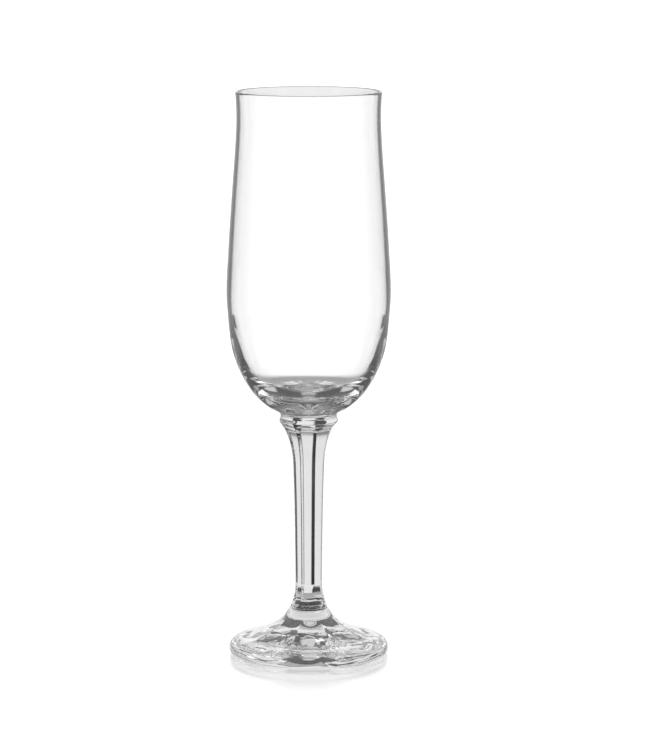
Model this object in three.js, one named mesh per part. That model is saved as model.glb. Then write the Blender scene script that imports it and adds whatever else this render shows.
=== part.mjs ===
// A champagne flute in clear glass: a blown bowl, a pressed eight-sided stem and a pressed,
// fluted foot. The three pieces are made apart and fused while hot, so each is a solid of its
// own and they meet on two flat weld faces.
// Millimetres, +Z up, origin at the centre of the foot's underside, on the surface it stands on.

import * as THREE from 'three';

// Driving dimensions.
const HEIGHT = 200; // floor to rim
const BOWL_WELD_Z = 85; // where the bowl is fused to the stem
const FOOT_WELD_Z = 15; // where the stem is fused to the foot
const BOWL_WELD_RADIUS = 9.9;
const FOOT_WELD_RADIUS = 7.6;
const RIM_RADIUS = 25.6; // outside, at the lip
const BELLY_RADIUS = 28.9; // the widest place of the bowl
const FOOT_RADIUS = 28.1; // the widest place of the foot
const RIM_WALL = 1.0; // glass thickness at the lip
const BOWL_FLOOR_Z = 94; // inside bottom of the bowl
const HOLLOW_DEPTH = 2.2; // how far the foot's underside is drawn up
const FACETS = 8; // flat sides of the stem, and flutes of the foot
const RIDGE_TURN = THREE.MathUtils.degToRad(-75.5); // direction of one stem ridge, from +X
const FLUTE_TURN = THREE.MathUtils.degToRad(-63); // direction of one ridge between the flutes
const FLUTE_DEPTH = 1.0;

// Fineness of the faceted surfaces: sides round the axis, and steps along each outline.
const BOWL_SIDES = 48;
const SIDES_PER_FACET = 6;
const ROUND_SIDES = FACETS * SIDES_PER_FACET;
const BOWL_OUTSIDE_STEPS = 30;
const BOWL_INSIDE_STEPS = 24;
const LIP_STEPS = 3;
const STEM_STEPS = 28;
const HOLLOW_STEPS = 4;
const FOOT_TOP_STEPS = 20;

const TAU = 2 * Math.PI;
const FACET_ANGLE = TAU / FACETS;

// ---------------------------------------------------------------- helpers

// Points of a smooth curve through [radius, height] stations.
function smoothOutline(stations, steps) {
  const curve = new THREE.SplineCurve(stations.map(([radius, z]) => new THREE.Vector2(radius, z)));
  return curve.getPoints(steps);
}

// Angle from the middle of the facet, or flute, that a direction falls in.
function angleInFacet(theta, ridgeTurn) {
  const fromRidge = THREE.MathUtils.euclideanModulo(theta - ridgeTurn, FACET_ANGLE);
  return fromRidge - FACET_ANGLE / 2;
}

// A closed body of rings stacked from its lower pole to its upper pole. ringPoint(ring, theta)
// gives a ring's radius and height in one direction; both poles are points on the axis.
function ringBody(ringCount, sides, ringPoint, lowPoleZ, highPoleZ) {
  const positions = [];
  const faces = [];
  for (let ring = 0; ring < ringCount; ring += 1) {
    for (let side = 0; side < sides; side += 1) {
      const theta = RIDGE_TURN + (TAU * side) / sides;
      const [radius, z] = ringPoint(ring, theta);
      positions.push(radius * Math.cos(theta), radius * Math.sin(theta), z);
    }
  }
  const lowPole = positions.length / 3;
  const highPole = lowPole + 1;
  positions.push(0, 0, lowPoleZ, 0, 0, highPoleZ);
  const lastRing = (ringCount - 1) * sides;
  for (let side = 0; side < sides; side += 1) {
    const next = (side + 1) % sides;
    faces.push(lowPole, next, side);
    faces.push(highPole, lastRing + side, lastRing + next);
    for (let ring = 0; ring + 1 < ringCount; ring += 1) {
      const low = ring * sides;
      const high = low + sides;
      faces.push(low + side, low + next, high + next);
      faces.push(low + side, high + next, high + side);
    }
  }
  const geometry = new THREE.BufferGeometry();
  geometry.setAttribute('position', new THREE.Float32BufferAttribute(positions, 3));
  geometry.setIndex(faces);
  geometry.computeVertexNormals();
  return geometry;
}

function glass() {
  return new THREE.MeshStandardMaterial({ color: 0xf2f6f5, roughness: 0.02, metalness: 0 });
}

function piece(name, geometry) {
  const mesh = new THREE.Mesh(geometry, glass());
  mesh.name = name;
  return mesh;
}

// ---------------------------------------------------------------- bowl

const LIP_Z = HEIGHT - RIM_WALL / 2; // where the round of the lip starts

// A tall tulip: it narrows to a waist under a slightly flared lip, and its walls thicken
// towards the solid base.
const BOWL_OUTSIDE_STATIONS = [
  [BOWL_WELD_RADIUS, BOWL_WELD_Z],
  [10.5, 86.9],
  [14.8, 89.4],
  [19.7, 94.1],
  [23.8, 100.7],
  [26.85, 109],
  [28.2, 119],
  [BELLY_RADIUS, 130],
  [28.35, 142],
  [27.6, 154],
  [26.75, 166],
  [25.85, 178],
  [25.3, 188],
  [25.3, 194.5],
  [RIM_RADIUS, LIP_Z],
];

const BOWL_INSIDE_STATIONS = [
  [RIM_RADIUS - RIM_WALL, LIP_Z],
  [24.25, 194.5],
  [24.2, 188],
  [24.7, 178],
  [26.3, 154],
  [27.45, 130],
  [26.6, 117],
  [24.2, 107],
  [20.4, 100],
  [15.4, 95.8],
  [9, 94.2],
  [0, BOWL_FLOOR_Z],
];

function bowlGeometry() {
  const weldCentre = new THREE.Vector2(0, BOWL_WELD_Z);
  const outside = smoothOutline(BOWL_OUTSIDE_STATIONS, BOWL_OUTSIDE_STEPS);
  const lip = new THREE.Path();
  lip.absarc(RIM_RADIUS - RIM_WALL / 2, LIP_Z, RIM_WALL / 2, 0, Math.PI);
  const lipPoints = lip.getPoints(LIP_STEPS).slice(1, -1);
  const inside = smoothOutline(BOWL_INSIDE_STATIONS, BOWL_INSIDE_STEPS).slice(0, -1);
  const floorCentre = new THREE.Vector2(0, BOWL_FLOOR_Z);
  const profile = [weldCentre, ...outside, ...lipPoints, ...inside, floorCentre];
  return new THREE.LatheGeometry(profile, BOWL_SIDES).rotateX(Math.PI / 2);
}

// ---------------------------------------------------------------- stem

// Radius over the stem's ridges, from the foot weld up to the bowl weld: a slim waist between
// two flares, the upper one ending in a round collar.
const STEM_STATIONS = [
  [FOOT_WELD_RADIUS, FOOT_WELD_Z],
  [6.6, 16.6],
  [6.1, 18.6],
  [5.35, 21],
  [4.9, 24],
  [4.85, 30],
  [5.0, 42],
  [5.2, 54],
  [5.5, 64],
  [5.8, 70.5],
  [6.65, 75.5],
  [7.9, 79.3],
  [9.45, 82.2],
  [10.3, 83.8],
  [BOWL_WELD_RADIUS, BOWL_WELD_Z],
];

// The flat sides end in arches: below these heights they cut to the ridges, and above them
// the collar and the lower ring are round.
const ARCH_LOW = { start: 17.0, end: 18.6 };
const ARCH_HIGH = { start: 82, end: 83.8 };

// How deep the flats cut at one height, from 0 (round) to 1 (flats meet in sharp ridges).
function flatCut(z) {
  const rising = THREE.MathUtils.smoothstep(z, ARCH_LOW.start, ARCH_LOW.end);
  const fading = THREE.MathUtils.smoothstep(z, ARCH_HIGH.start, ARCH_HIGH.end);
  return rising * (1 - fading);
}

function stemGeometry() {
  const outline = smoothOutline(STEM_STATIONS, STEM_STEPS);
  const flatness = Math.cos(FACET_ANGLE / 2);
  const ringPoint = (ring, theta) => {
    const { x: radius, y: z } = outline[ring];
    const middle = radius * THREE.MathUtils.lerp(1, flatness, flatCut(z));
    const flat = middle / Math.cos(angleInFacet(theta, RIDGE_TURN));
    return [Math.min(radius, flat), z];
  };
  return ringBody(outline.length, ROUND_SIDES, ringPoint, FOOT_WELD_Z, BOWL_WELD_Z);
}

// ---------------------------------------------------------------- foot

const REST_RING = { inner: 23, outer: 27.2 }; // the flat ring that the glass stands on

// Outline of the foot's top, from the ring it stands on round the edge and up to the weld.
const FOOT_TOP_STATIONS = [
  [REST_RING.outer, 0],
  [27.9, 0.9],
  [FOOT_RADIUS, 2.3],
  [27.5, 4.1],
  [25.2, 5.4],
  [20.5, 6.7],
  [15.2, 8.9],
  [11.3, 11.2],
  [8.9, 13.2],
  [FOOT_WELD_RADIUS, FOOT_WELD_Z],
];

// Radii between which the flutes come up out of the cone, and between which they fade again.
const FLUTE_RISE = { start: 8.8, end: 11 };
const FLUTE_FADE = { start: 20, end: 25.5 };

// Flutes run down the cone and fade out before the edge and below the weld.
function fluteDepth(radius, theta) {
  const clearOfWeld = THREE.MathUtils.smoothstep(radius, FLUTE_RISE.start, FLUTE_RISE.end);
  const clearOfEdge = 1 - THREE.MathUtils.smoothstep(radius, FLUTE_FADE.start, FLUTE_FADE.end);
  const acrossFlute = Math.cos((angleInFacet(theta, FLUTE_TURN) / FACET_ANGLE) * Math.PI);
  return FLUTE_DEPTH * clearOfWeld * clearOfEdge * acrossFlute;
}

// The shallow hollow of the underside, from near its middle out to the ring it stands on.
function hollowOutline() {
  const outline = [];
  for (let step = 1; step <= HOLLOW_STEPS; step += 1) {
    const share = step / HOLLOW_STEPS;
    const z = HOLLOW_DEPTH * Math.cos((share * Math.PI) / 2) ** 2;
    outline.push(new THREE.Vector2(REST_RING.inner * share, z));
  }
  return outline;
}

function footGeometry() {
  const hollow = hollowOutline();
  const rings = [...hollow, ...smoothOutline(FOOT_TOP_STATIONS, FOOT_TOP_STEPS)];
  const ringPoint = (ring, theta) => {
    const { x: radius, y: z } = rings[ring];
    const onTop = ring >= hollow.length;
    return [radius, onTop ? z - fluteDepth(radius, theta) : z];
  };
  return ringBody(rings.length, ROUND_SIDES, ringPoint, HOLLOW_DEPTH, FOOT_WELD_Z);
}

// ---------------------------------------------------------------- assembly

const flute = new THREE.Group();
flute.add(piece('bowl', bowlGeometry()));
flute.add(piece('stem', stemGeometry()));
flute.add(piece('foot', footGeometry()));

export default flute;
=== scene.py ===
"""A champagne flute in clear glass on a white table, in bright-field light.

Three finer pieces stand for the three CAD solids: the blown bowl, the pressed eight-sided stem
and the pressed, fluted foot. They meet at the two welds of the real glass.

Outlines are drawn in millimetres, for a glass 200 mm tall. MM turns a drawn millimetre into
metres at the size that the frame has.
"""

import math

import bpy
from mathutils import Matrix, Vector, noise


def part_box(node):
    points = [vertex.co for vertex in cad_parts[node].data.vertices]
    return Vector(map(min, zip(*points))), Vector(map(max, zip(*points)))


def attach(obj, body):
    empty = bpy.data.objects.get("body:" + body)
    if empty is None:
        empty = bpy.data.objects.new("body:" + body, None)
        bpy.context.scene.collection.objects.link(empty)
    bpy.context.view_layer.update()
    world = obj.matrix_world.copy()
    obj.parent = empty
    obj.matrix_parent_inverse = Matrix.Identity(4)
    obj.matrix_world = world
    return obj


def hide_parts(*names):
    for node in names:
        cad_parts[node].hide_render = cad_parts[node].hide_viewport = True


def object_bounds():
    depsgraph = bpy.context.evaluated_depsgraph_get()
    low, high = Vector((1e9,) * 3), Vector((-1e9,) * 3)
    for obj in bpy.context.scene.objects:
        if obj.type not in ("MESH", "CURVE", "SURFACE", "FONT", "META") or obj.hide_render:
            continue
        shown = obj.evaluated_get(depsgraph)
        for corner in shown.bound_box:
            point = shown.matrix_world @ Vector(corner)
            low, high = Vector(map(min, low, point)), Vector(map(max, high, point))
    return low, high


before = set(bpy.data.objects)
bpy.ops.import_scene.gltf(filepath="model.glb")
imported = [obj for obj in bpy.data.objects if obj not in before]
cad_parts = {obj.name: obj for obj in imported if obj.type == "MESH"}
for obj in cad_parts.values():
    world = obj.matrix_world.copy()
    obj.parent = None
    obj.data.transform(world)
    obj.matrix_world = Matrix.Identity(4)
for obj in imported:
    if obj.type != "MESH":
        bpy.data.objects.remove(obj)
cad_low, cad_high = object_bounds()

# ---------------------------------------------------------------- sizes

# From the frame.
DRAWN_HEIGHT = 200
MM = cad_high.z / DRAWN_HEIGHT
stem_low, stem_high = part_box("stem")
FOOT_WELD_Z = stem_low.z / MM  # where the stem is fused to the foot
BOWL_WELD_Z = stem_high.z / MM  # where the bowl is fused to the stem
BELLY_RADIUS = cad_high.x / MM  # the widest place of the bowl

# The same as in the CAD, in drawn millimetres.
BOWL_WELD_RADIUS = 9.9
FOOT_WELD_RADIUS = 7.6
RIM_RADIUS = 25.6  # outside, at the lip
RIM_WALL = 1.0  # glass thickness at the lip
LIP_Z = DRAWN_HEIGHT - RIM_WALL / 2  # where the round of the lip starts
BOWL_FLOOR_Z = 94  # inside bottom of the bowl
FOOT_RADIUS = 28.1  # the widest place of the foot
REST_RING_INNER = 23  # the foot stands on a flat ring
REST_RING_OUTER = 27.2
HOLLOW_DEPTH = 2.2  # how far the foot's underside is drawn up
FLUTE_DEPTH = 1.0

FACETS = 8  # flat sides of the stem, and flutes of the foot
FACET_ANGLE = math.tau / FACETS
RIDGE_TURN = math.radians(-75.5)  # direction of one ridge of the stem, counted from +X
FLUTE_TURN = math.radians(-63)  # direction of one ridge between the foot's flutes

# Fineness: sides round the axis, and steps along each outline.
SIDES_PER_FACET = 32
SIDES = FACETS * SIDES_PER_FACET
BOWL_OUTSIDE_STEPS = 112
BOWL_INSIDE_STEPS = 88
LIP_STEPS = 10
STEM_STEPS = 168
HOLLOW_STEPS = 36
FOOT_TOP_STEPS = 108

# ---------------------------------------------------------------- curves and bodies


def smoothstep(value, start, end):
    share = min(max((value - start) / (end - start), 0), 1)
    return share * share * (3 - 2 * share)


def between(value, rise, fall):
    """Goes from 0 to 1 over the pair of values in rise, and back to 0 over the pair in fall."""
    return smoothstep(value, *rise) * (1 - smoothstep(value, *fall))


def smooth_outline(stations, steps):
    """Points of a smooth curve through (radius, height) stations, the same curve as in the CAD."""
    points = [Vector(station) for station in stations]
    last = len(points) - 1
    outline = []
    for step in range(steps + 1):
        place = last * step / steps
        index = min(int(place), last - 1)
        weight = place - index
        before = points[max(index - 1, 0)]
        start = points[index]
        end = points[index + 1]
        after = points[min(index + 2, last)]
        leave = (end - before) / 2
        arrive = (after - start) / 2
        point = (
            (2 * start - 2 * end + leave + arrive) * weight**3
            + (-3 * start + 3 * end - 2 * leave - arrive) * weight**2
            + leave * weight
            + start
        )
        outline.append((point.x, point.y))
    return outline


def angle_in_facet(theta, ridge_turn):
    """Angle from the middle of the facet, or flute, that a direction falls in."""
    return (theta - ridge_turn) % FACET_ANGLE - FACET_ANGLE / 2


def mark_welds(mesh, poles):
    """The faces round these poles are weld faces: they take material 1 and a sharp edge."""
    weld_edges = set()
    for polygon in mesh.polygons:
        corners = set(polygon.vertices)
        if corners & poles:
            polygon.material_index = 1
            weld_edges.add(tuple(sorted(corners - poles)))
    for edge in mesh.edges:
        if tuple(sorted(edge.vertices)) in weld_edges:
            edge.use_edge_sharp = True


def ring_body(name, ring_count, ring_point, low_pole_z, high_pole_z, low_weld, high_weld):
    """A closed body of rings stacked from its lower pole to its upper pole.

    ring_point(ring, theta) gives a ring's radius and height in one direction. Both poles are
    points on the axis; low_weld and high_weld say whether the end round them is a weld face.
    """
    vertices = []
    faces = []
    for ring in range(ring_count):
        for side in range(SIDES):
            theta = RIDGE_TURN + math.tau * side / SIDES
            radius, z = ring_point(ring, theta)
            vertices.append((radius * math.cos(theta), radius * math.sin(theta), z))
    low_pole = len(vertices)
    high_pole = low_pole + 1
    vertices += [(0, 0, low_pole_z), (0, 0, high_pole_z)]
    last_ring = (ring_count - 1) * SIDES
    for side in range(SIDES):
        following = (side + 1) % SIDES
        faces.append((low_pole, following, side))
        faces.append((high_pole, last_ring + side, last_ring + following))
    for ring in range(ring_count - 1):
        for side in range(SIDES):
            here = ring * SIDES + side
            beside = ring * SIDES + (side + 1) % SIDES
            faces.append((here, beside, beside + SIDES, here + SIDES))
    mesh = bpy.data.meshes.new(name)
    mesh.from_pydata([Vector(vertex) * MM for vertex in vertices], [], faces)
    mesh.shade_smooth()
    weld_poles = set()
    if low_weld:
        weld_poles.add(low_pole)
    if high_weld:
        weld_poles.add(high_pole)
    mark_welds(mesh, weld_poles)
    body = bpy.data.objects.new(name, mesh)
    bpy.context.scene.collection.objects.link(body)
    return body


# ---------------------------------------------------------------- glass

GLASS_INDEX = 1.5
UNEVEN_GLOSS = 0.02  # the most roughness that the fire leaves


def glass_material(name, clearness, ripple_size, ripple_height):
    """Polished glass, all but clear, whose surface has the faint waves left by the fire.

    clearness is the share of light that the glass lets by. The waves are about ripple_size
    metres long, and at most ripple_height metres high.
    """
    material = bpy.data.materials.new(name)
    material.use_nodes = True
    nodes = material.node_tree.nodes
    links = material.node_tree.links
    shader = nodes["Principled BSDF"]
    shader.inputs["Base Color"].default_value = (clearness, clearness, clearness, 1)
    shader.inputs["Transmission Weight"].default_value = 1
    shader.inputs["IOR"].default_value = GLASS_INDEX
    place = nodes.new("ShaderNodeTexCoord")
    ripples = nodes.new("ShaderNodeTexNoise")
    ripples.inputs["Scale"].default_value = 1 / ripple_size
    ripples.inputs["Detail"].default_value = 1
    links.new(place.outputs["Object"], ripples.inputs["Vector"])
    gloss = nodes.new("ShaderNodeMapRange")
    gloss.inputs["To Min"].default_value = 0
    gloss.inputs["To Max"].default_value = UNEVEN_GLOSS
    links.new(ripples.outputs["Fac"], gloss.inputs["Value"])
    links.new(gloss.outputs["Result"], shader.inputs["Roughness"])
    bump = nodes.new("ShaderNodeBump")
    bump.inputs["Distance"].default_value = ripple_height
    links.new(ripples.outputs["Fac"], bump.inputs["Height"])
    links.new(bump.outputs["Normal"], shader.inputs["Normal"])
    return material


def weld_material():
    """The weld faces lie inside fused glass, where there is no surface to see."""
    material = bpy.data.materials.new("weld_inside")
    material.use_nodes = True
    shader = material.node_tree.nodes["Principled BSDF"]
    shader.inputs["Alpha"].default_value = 0
    return material


weld_inside = weld_material()


def finish_piece(body, node, slot, clearness, ripple_size, ripple_height):
    """Gives a body its two materials, hangs it on the root body, and hides the CAD part that it
    stands for.
    """
    body.data.materials.append(glass_material(slot, clearness, ripple_size, ripple_height))
    body.data.materials.append(weld_inside)
    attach(body, "root")
    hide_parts(node)


# ---------------------------------------------------------------- bowl

BOWL_OUTSIDE = [
    (BOWL_WELD_RADIUS, BOWL_WELD_Z),
    (10.5, 86.9),
    (14.8, 89.4),
    (19.7, 94.1),
    (23.8, 100.7),
    (26.85, 109),
    (28.2, 119),
    (BELLY_RADIUS, 130),
    (28.35, 142),
    (27.6, 154),
    (26.75, 166),
    (25.85, 178),
    (25.3, 188),
    (25.3, 194.5),
    (RIM_RADIUS, LIP_Z),
]
BOWL_INSIDE = [
    (RIM_RADIUS - RIM_WALL, LIP_Z),
    (24.25, 194.5),
    (24.2, 188),
    (24.7, 178),
    (26.3, 154),
    (27.45, 130),
    (26.6, 117),
    (24.2, 107),
    (20.4, 100),
    (15.4, 95.8),
    (9, 94.2),
    (0, BOWL_FLOOR_Z),
]

FLOOR_RIBS = 16
RIB_DEPTH = 0.16
RIB_RISE = (1.5, 5)  # radii between which the ribs come up
RIB_FADE = (7.5, 10.5)  # and between which they run out


def lip_arc():
    """The rounded lip, between the last outside point and the first inside point."""
    half_wall = RIM_WALL / 2
    centre = RIM_RADIUS - half_wall
    arc = []
    for step in range(1, LIP_STEPS):
        turn = math.pi * step / LIP_STEPS
        arc.append((centre + half_wall * math.cos(turn), LIP_Z + half_wall * math.sin(turn)))
    return arc


def floor_rib(radius, theta):
    """Faint ribs that fan out over the floor of the bowl, where the hot stem was pressed on."""
    return RIB_DEPTH * between(radius, RIB_RISE, RIB_FADE) * math.cos(FLOOR_RIBS * theta)


def make_bowl():
    outside = smooth_outline(BOWL_OUTSIDE, BOWL_OUTSIDE_STEPS) + lip_arc()
    inside = smooth_outline(BOWL_INSIDE, BOWL_INSIDE_STEPS)[:-1]
    profile = outside + inside

    def ring_point(ring, theta):
        radius, z = profile[ring]
        if ring < len(outside):
            return radius, z
        return radius, z + floor_rib(radius, theta)

    return ring_body("bowl_glass", len(profile), ring_point, BOWL_WELD_Z, BOWL_FLOOR_Z, True, False)


# ---------------------------------------------------------------- stem

# Radius over the ridges, from the foot weld up to the bowl weld.
STEM_OUTLINE = [
    (FOOT_WELD_RADIUS, FOOT_WELD_Z),
    (6.6, 16.6),
    (6.1, 18.6),
    (5.35, 21),
    (4.9, 24),
    (4.85, 30),
    (5.0, 42),
    (5.2, 54),
    (5.5, 64),
    (5.8, 70.5),
    (6.65, 75.5),
    (7.9, 79.3),
    (9.45, 82.2),
    (10.3, 83.8),
    (BOWL_WELD_RADIUS, BOWL_WELD_Z),
]

# The flat sides end in arches between these heights. Beyond them the stem is round.
ARCH_LOW = (17.0, 18.6)
ARCH_HIGH = (82, 83.8)

RIDGE_ROUNDING = 0.5  # radius that the fire leaves on a ridge
SEAM_ROUNDING = 3.0  # and on the ridge where the mould closed


def octagon_radius(middle, theta):
    """Distance from the axis to an octagon with rounded ridges, whose flats lie at middle."""
    off_middle = abs(angle_in_facet(theta, RIDGE_TURN))
    ridge = round((theta - RIDGE_TURN) / FACET_ANGLE) % FACETS
    rounding = SEAM_ROUNDING if ridge == 0 else RIDGE_ROUNDING
    half = FACET_ANGLE / 2
    flat_end = math.atan((middle - rounding) * math.tan(half) / middle)
    if off_middle <= flat_end:
        return middle / math.cos(off_middle)
    centre = (middle - rounding) / math.cos(half)
    off_ridge = half - off_middle
    return centre * math.cos(off_ridge) + math.sqrt(rounding**2 - (centre * math.sin(off_ridge)) ** 2)


def make_stem():
    outline = smooth_outline(STEM_OUTLINE, STEM_STEPS)
    flatness = math.cos(FACET_ANGLE / 2)

    def ring_point(ring, theta):
        radius, z = outline[ring]
        middle = radius * (1 + (flatness - 1) * between(z, ARCH_LOW, ARCH_HIGH))
        return min(radius, octagon_radius(middle, theta)), z

    return ring_body("stem_glass", len(outline), ring_point, FOOT_WELD_Z, BOWL_WELD_Z, True, True)


# ---------------------------------------------------------------- foot

# From the ring it stands on, round the edge and up to the weld.
FOOT_TOP = [
    (REST_RING_OUTER, 0),
    (27.9, 0.9),
    (FOOT_RADIUS, 2.3),
    (27.5, 4.1),
    (25.2, 5.4),
    (20.5, 6.7),
    (15.2, 8.9),
    (11.3, 11.2),
    (8.9, 13.2),
    (FOOT_WELD_RADIUS, FOOT_WELD_Z),
]

# Radii between which the flutes come up out of the cone, and between which they fade again.
FLUTE_RISE = (8.8, 11)
FLUTE_FADE = (20, 25.5)

# The same for the unevenness of the foot's skin, and its height and length.
UNEVEN_RISE = (7.8, 9.5)
UNEVEN_FADE = (REST_RING_INNER, 26.5)
UNEVEN_HEIGHT = 0.13
UNEVEN_LENGTH = 3.6


def flute_depth(radius, theta):
    """How deep the flutes cut into the cone: deepest in the middle between two ridges."""
    across = math.cos(angle_in_facet(theta, FLUTE_TURN) / FACET_ANGLE * math.pi)
    return FLUTE_DEPTH * between(radius, FLUTE_RISE, FLUTE_FADE) * across


def unevenness(radius, theta):
    """The slightly uneven skin that pressed glass has: long lumps with shorter ones on them."""
    place = Vector((radius * math.cos(theta), radius * math.sin(theta), 0)) / UNEVEN_LENGTH
    lumps = noise.noise(place) + noise.noise(2 * place) / 2
    return UNEVEN_HEIGHT * between(radius, UNEVEN_RISE, UNEVEN_FADE) * lumps


def hollow_outline():
    """The shallow hollow of the underside, from near its middle out to the ring it stands on."""
    outline = []
    for step in range(1, HOLLOW_STEPS + 1):
        share = step / HOLLOW_STEPS
        z = HOLLOW_DEPTH * math.cos(share * math.pi / 2) ** 2
        outline.append((REST_RING_INNER * share, z))
    return outline


def make_foot():
    hollow = hollow_outline()
    rings = hollow + smooth_outline(FOOT_TOP, FOOT_TOP_STEPS)

    def ring_point(ring, theta):
        radius, z = rings[ring]
        if ring < len(hollow):
            return radius, z
        return radius, z - flute_depth(radius, theta) + unevenness(radius, theta)

    return ring_body("foot_glass", len(rings), ring_point, HOLLOW_DEPTH, FOOT_WELD_Z, False, True)


# ---------------------------------------------------------------- node trees


def sine(degrees):
    return math.sin(math.radians(degrees))


class NodeTree:
    """A short way to write down a node tree: each call adds nodes and returns their output."""

    def __init__(self, tree):
        self.nodes = tree.nodes
        self.links = tree.links

    def put(self, socket, value):
        """Links a socket to a node's output, or sets it to a plain value."""
        if isinstance(value, bpy.types.NodeSocket):
            self.links.new(value, socket)
        else:
            socket.default_value = value

    def from_axis(self):
        """Distance from the object's own vertical axis, on a flat object."""
        place = self.nodes.new("ShaderNodeTexCoord")
        length = self.nodes.new("ShaderNodeVectorMath")
        length.operation = "LENGTH"
        self.put(length.inputs[0], place.outputs["Object"])
        return length.outputs["Value"]

    def math(self, operation, first, second):
        node = self.nodes.new("ShaderNodeMath")
        node.operation = operation
        self.put(node.inputs[0], first)
        self.put(node.inputs[1], second)
        return node.outputs[0]

    def both(self, first, second):
        """A share that is 1 only where both of two shares are."""
        return self.math("MULTIPLY", first, second)

    def ramp(self, value, start, end, low, high):
        """Goes smoothly from low, where value is start, to high, where value is end."""
        node = self.nodes.new("ShaderNodeMapRange")
        node.interpolation_type = "SMOOTHSTEP"
        self.put(node.inputs["Value"], value)
        self.put(node.inputs["From Min"], start)
        self.put(node.inputs["From Max"], end)
        self.put(node.inputs["To Min"], low)
        self.put(node.inputs["To Max"], high)
        return node.outputs["Result"]

    def window(self, value, rise, top, end, fall):
        """Is 1 where value lies between top and end, and falls to 0 at rise and at fall."""
        return self.both(self.ramp(value, rise, top, 0, 1), self.ramp(value, end, fall, 1, 0))

    def past(self, height, start, end):
        """Goes from 0 to 1 between two elevations in degrees."""
        return self.ramp(height, sine(start), sine(end), 0, 1)

    def belt(self, height, rise, top, end, fall):
        """A window between elevations in degrees."""
        return self.window(height, sine(rise), sine(top), sine(end), sine(fall))

    def dim(self, light, share, depth):
        """Takes away some of the light: the part that depth says, where share is 1."""
        return self.math("MULTIPLY", light, self.ramp(share, 0, 1, 1, 1 - depth))

    def blend(self, share, low, high):
        """Is low where share is 0 and high where it is 1."""
        node = self.nodes.new("ShaderNodeMix")
        self.put(node.inputs["Factor"], share)
        self.put(node.inputs["A"], low)
        self.put(node.inputs["B"], high)
        return node.outputs["Result"]


# ---------------------------------------------------------------- table

COLOURLESS = (1, 1, 1, 1)
DISC_CORNERS = 96
FOOT_EDGE = FOOT_RADIUS * MM

TABLE_RADIUS = 0.6
TABLE_Z = -0.00002  # just under the foot, so that no two faces lie in one plane
TABLE_LIGHT = 1.05
TABLE_SHADE = 0.88  # brightness under the foot
TABLE_GLOSS = 0.35  # share of the foot's mirror image in what is seen at its edge
TABLE_ROUGHNESS = 0.1
SHADE_EDGE = 2.4 * FOOT_EDGE  # where both the shade and the gloss have faded out

# The plate glows with painted light and shade for the glass to see: painted shade under the stem,
# painted light under the foot, dimmer beyond it.
PLATE_RADIUS = 1.8 * FOOT_EDGE
PLATE_Z = 2 * TABLE_Z
PLATE_STEM_SHADE = 0.02  # brightness of the plate under the stem
PLATE_FOOT_LIGHT = 0.85  # under the foot
PLATE_BEYOND = 0.45  # share of that which is left beyond the foot
PLATE_RISE = (0.32 * FOOT_EDGE, 0.55 * FOOT_EDGE)  # where its light comes up
PLATE_FADE = (FOOT_EDGE, 1.3 * FOOT_EDGE)  # and where it drops


def make_disc(name, radius, z):
    """A flat disc with an empty material, and that material's tree to fill in."""
    corners = []
    for corner in range(DISC_CORNERS):
        turn = math.tau * corner / DISC_CORNERS
        corners.append((radius * math.cos(turn), radius * math.sin(turn), 0))
    mesh = bpy.data.meshes.new(name)
    mesh.from_pydata(corners, [], [tuple(range(DISC_CORNERS))])
    disc = bpy.data.objects.new(name, mesh)
    disc.location.z = z
    bpy.context.scene.collection.objects.link(disc)
    material = bpy.data.materials.new(name + "_white")
    material.use_nodes = True
    mesh.materials.append(material)
    tree = NodeTree(material.node_tree)
    tree.nodes.clear()
    return disc, tree


def make_table():
    """A white table top, with a soft shade under the foot and a faint gloss that mirrors it.
    The glass doesn't see the table: the surround and the plate light the glass instead."""
    table, tree = make_disc("table", TABLE_RADIUS, TABLE_Z)
    table.visible_transmission = False
    table.visible_glossy = False
    away = tree.from_axis()
    glow = tree.nodes.new("ShaderNodeEmission")
    tree.put(glow.inputs["Color"], COLOURLESS)
    light = tree.ramp(away, FOOT_EDGE, SHADE_EDGE, TABLE_SHADE, TABLE_LIGHT)
    tree.put(glow.inputs["Strength"], light)
    gloss = tree.nodes.new("ShaderNodeBsdfGlossy")
    tree.put(gloss.inputs["Color"], COLOURLESS)
    tree.put(gloss.inputs["Roughness"], TABLE_ROUGHNESS)
    mix = tree.nodes.new("ShaderNodeMixShader")
    tree.put(mix.inputs["Fac"], tree.ramp(away, FOOT_EDGE, SHADE_EDGE, TABLE_GLOSS, 0))
    tree.put(mix.inputs[1], glow.outputs["Emission"])
    tree.put(mix.inputs[2], gloss.outputs["BSDF"])
    output = tree.nodes.new("ShaderNodeOutputMaterial")
    tree.put(output.inputs["Surface"], mix.outputs["Shader"])


def make_plate():
    """What the glass sees in place of the table, as painted light and shade: dark under the stem as
    painted shade, bright under the foot as painted light, and dimmer beyond it. The camera sees the
    plate only through the glass."""
    plate, tree = make_disc("plate", PLATE_RADIUS, PLATE_Z)
    plate.visible_camera = False
    away = tree.from_axis()
    inner = tree.ramp(away, *PLATE_RISE, PLATE_STEM_SHADE, PLATE_FOOT_LIGHT)
    outer = tree.ramp(away, *PLATE_FADE, 1, PLATE_BEYOND)
    glow = tree.nodes.new("ShaderNodeEmission")
    tree.put(glow.inputs["Color"], COLOURLESS)
    tree.put(glow.inputs["Strength"], tree.math("MULTIPLY", inner, outer))
    output = tree.nodes.new("ShaderNodeOutputMaterial")
    tree.put(output.inputs["Surface"], glow.outputs["Emission"])


# ---------------------------------------------------------------- surround

WHITE = 1.25  # brightness of the surround, a little over plain white
WAVES = (4, 8)  # how often the cards and panels repeat round the glass

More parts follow.
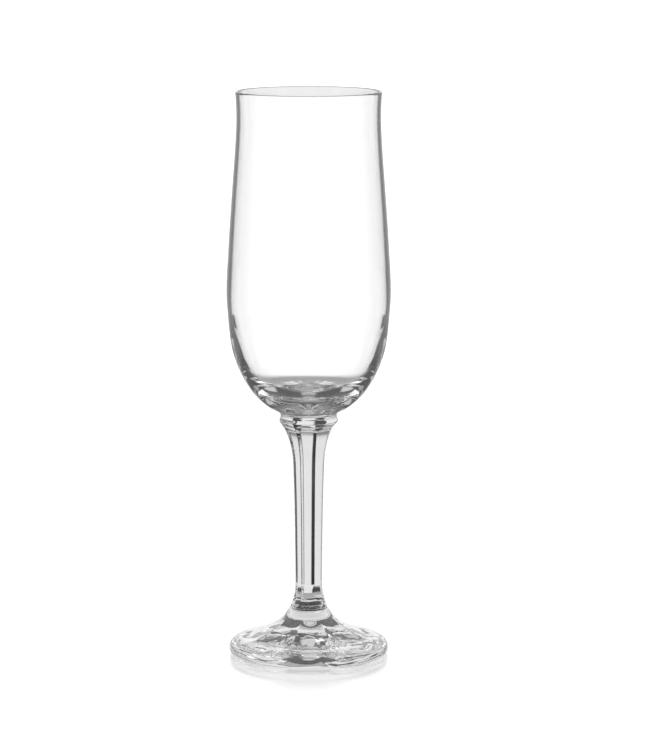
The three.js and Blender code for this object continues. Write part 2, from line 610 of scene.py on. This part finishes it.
# Parts of the surround, by elevation in degrees: where each comes in, and where it goes out.
ABOVE_LOW = (-14.5, -13.5)
ABOVE_LEVEL = (-9, -8)
LEVEL_BELT = ABOVE_LOW + ABOVE_LEVEL
LOW_BELT = (-29, -24, -15.5, -13.5)
FLOOR_BELT = (-61, -55, -36, -24)
NEAR_FLOOR_BELT = (-61, -55, -55, -45)
ONE_WALL_BELT = (-57, -53, -53, -47)
OVERHEAD = (8, 35)

# Cards, by the cosine of the azimuth times 4: where each comes in, and where it goes out.
UPPER_CARDS = (-0.07, 0.1, 0.31, 0.5)
LEVEL_CARDS = (-0.05, 0.2, 0.6, 0.82)
STEM_CARDS = (-0.2, 0, 0.7, 0.9)

# The low cards repeat 8 times and get wider towards the floor, down to an elevation in degrees.
LOW_CARD_EDGE = (-3.4, -2.65)
LOW_CARD_LEAN = 8
LEAN_END = -20

# What the outer faces mirror: elevations where it turns white, and where it gets darker still.
HORIZON = (-2, 6)
MIRRORED_FLOOR = (-13, -26)

# The room that light reflected inside the glass comes from, and the elevations between which it
# changes to its floor and its ceiling.
ROOM = 0.09
ROOM_FLOOR = 0.33
TO_ROOM_FLOOR = (-24, -48)
ROOM_CEILING = 0.7
TO_ROOM_CEILING = (41, 50)

# The panels in it: 8 of them, with every other one dimmer.
PANEL = 0.65
PANEL_BELT = (-12, -8, 11, 16)
PANEL_EDGE = (0.1, 0.7)
OTHER_PANEL_EDGE = (0.2, 0.8)
OTHER_PANELS = 0.65

# Azimuth, elevation and size of each lamp in degrees, and its brightness.
LAMPS = (
    (-72, 24, 17, 1.4),
    (72, 24, 17, 1.4),
    (0, 33, 9, 0.6),
    (-17, 45, 9, 1.2),
)


def light_through(tree, waves, height, one_wall):
    """What is seen straight through the glass: white between dark cards that stand round it,
    and dimmer far below and above.

    waves holds the cosine of the azimuth times 4 and times 8. height is the sine of the
    elevation. one_wall is 1 for light that has gone through no more than one wall, as it does
    in the stem and the foot.
    """
    upper_cards = tree.both(tree.past(height, *ABOVE_LEVEL), tree.window(waves[4], *UPPER_CARDS))
    level_cards = tree.both(tree.belt(height, *LEVEL_BELT), tree.window(waves[4], *LEVEL_CARDS))
    stem_cards = tree.both(tree.past(height, *ABOVE_LOW), tree.window(waves[4], *STEM_CARDS))
    lean = tree.math("MULTIPLY", tree.math("MAXIMUM", height, sine(LEAN_END)), LOW_CARD_LEAN)
    low_cards = tree.ramp(tree.math("ADD", waves[8], lean), *LOW_CARD_EDGE, 1, 0)
    dimmers = (
        # where it is, and the share of the light that it takes away
        (upper_cards, 0.3),
        (level_cards, 0.95),
        (tree.both(one_wall, stem_cards), 0.95),
        (tree.both(tree.belt(height, *LOW_BELT), low_cards), 0.95),
        (tree.belt(height, *FLOOR_BELT), 0.65),
        (tree.belt(height, *NEAR_FLOOR_BELT), 0.3),
        (tree.both(one_wall, tree.belt(height, *ONE_WALL_BELT)), 0.6),
        (one_wall, 0.28),
        (tree.past(height, *OVERHEAD), 0.7),
    )
    light = WHITE
    for place, depth in dimmers:
        light = tree.dim(light, place, depth)
    return light


def light_outside(tree, height):
    """What the table and the outer faces of the glass mirror: white above the horizon, half as
    bright below it, and darker still towards the floor."""
    light = tree.blend(tree.past(height, *HORIZON), WHITE / 2, WHITE)
    return tree.dim(light, tree.past(height, *MIRRORED_FLOOR), 0.7)


def turned(azimuth, elevation):
    """A direction whose azimuth is counted from +Y towards +X."""
    ahead = math.cos(math.radians(elevation))
    return (ahead * sine(azimuth), ahead * sine(90 - azimuth), sine(elevation))


def lamp(tree, direction, azimuth, elevation, size):
    """Is 1 over a round soft lamp, and fades out at size degrees off its middle."""
    aim = tree.nodes.new("ShaderNodeVectorMath")
    aim.operation = "DOT_PRODUCT"
    tree.put(aim.inputs[0], direction)
    tree.put(aim.inputs[1], turned(azimuth, elevation))
    return tree.past(aim.outputs["Value"], 90 - size, 90 - size / 2)


def light_inside(tree, waves, height, direction):
    """What light reflected inside the glass comes from: a dim room with panels and soft lamps."""
    panels = tree.both(tree.ramp(waves[8], *PANEL_EDGE, 0, 1), tree.belt(height, *PANEL_BELT))
    panels = tree.both(panels, tree.ramp(waves[4], *OTHER_PANEL_EDGE, 1, OTHER_PANELS))
    light = tree.blend(panels, ROOM, PANEL)
    light = tree.blend(tree.past(height, *TO_ROOM_FLOOR), light, ROOM_FLOOR)
    light = tree.blend(tree.past(height, *TO_ROOM_CEILING), light, ROOM_CEILING)
    for azimuth, elevation, size, brightness in LAMPS:
        light = tree.blend(lamp(tree, direction, azimuth, elevation, size), light, brightness)
    return light


def make_surround():
    """White for light that comes straight through the glass, and a dim room with lamps for
    light reflected inside it, which draws dark outlines from every side. The camera itself
    sees plain white."""
    world = bpy.data.worlds.new("studio")
    bpy.context.scene.world = world
    world.use_nodes = True
    background = world.node_tree.nodes["Background"]
    tree = NodeTree(world.node_tree)
    direction = tree.nodes.new("ShaderNodeTexCoord").outputs["Generated"]
    split = tree.nodes.new("ShaderNodeSeparateXYZ")
    tree.put(split.inputs["Vector"], direction)
    height = split.outputs["Z"]
    azimuth = tree.math("ARCTAN2", split.outputs["Y"], split.outputs["X"])
    waves = {}
    for count in WAVES:
        waves[count] = tree.math("COSINE", tree.math("MULTIPLY", azimuth, count), 0)
    path = tree.nodes.new("ShaderNodeLightPath")
    reflected = tree.math("GREATER_THAN", path.outputs["Glossy Depth"], 0.5)
    surfaces = path.outputs["Transmission Depth"]
    through = tree.math("GREATER_THAN", surfaces, 0.5)
    one_wall = tree.math("LESS_THAN", surfaces, 2.5)  # no more than one way in and one way out
    outside = light_outside(tree, height)
    straight = tree.blend(through, outside, light_through(tree, waves, height, one_wall))
    inside = light_inside(tree, waves, height, direction)
    lit = tree.blend(tree.both(reflected, through), straight, inside)
    tree.put(background.inputs["Color"], COLOURLESS)
    tree.put(background.inputs["Strength"], tree.blend(path.outputs["Is Camera Ray"], lit, WHITE))


# ---------------------------------------------------------------- camera

CAMERA_DISTANCE = 1.240  # in front of the glass
CAMERA_HEIGHT = 0.2884
VIEW_ANGLE = 12.03  # degrees, over the longer side of the picture
SENSOR_WIDTH = 36
ASIDE = 0.021733  # share of the picture that the glass stands to the left of its middle


def make_camera():
    """A long lens aimed at the middle of the glass's height, from a little above the rim."""
    data = bpy.data.cameras.new("camera")
    data.sensor_width = SENSOR_WIDTH
    data.lens = SENSOR_WIDTH / 2 / math.tan(math.radians(VIEW_ANGLE) / 2)
    data.shift_x = ASIDE
    data.clip_start = 0.01
    data.clip_end = 50
    camera = bpy.data.objects.new("camera", data)
    camera.location = (0, -CAMERA_DISTANCE, CAMERA_HEIGHT)
    toward = Vector((0, 0, cad_high.z / 2)) - camera.location
    camera.rotation_euler = toward.to_track_quat("-Z", "Y").to_euler()
    bpy.context.scene.collection.objects.link(camera)
    bpy.context.scene.camera = camera


# ---------------------------------------------------------------- scene

LIGHT_BOUNCES = 32  # glass sends light back and forth many times

make_camera()
finish_piece(
    make_bowl(), "bowl", "bowl_glass", clearness=0.97, ripple_size=0.03, ripple_height=0.00002
)
finish_piece(
    make_stem(), "stem", "stem_glass", clearness=0.9, ripple_size=0.006, ripple_height=0.00004
)
finish_piece(
    make_foot(), "foot", "foot_glass", clearness=0.93, ripple_size=0.01, ripple_height=0.00005
)
make_table()
make_plate()
make_surround()

scene = bpy.context.scene
scene.view_settings.view_transform = "Standard"
scene.cycles.max_bounces = LIGHT_BOUNCES
scene.cycles.transmission_bounces = LIGHT_BOUNCES
scene.cycles.glossy_bounces = LIGHT_BOUNCES
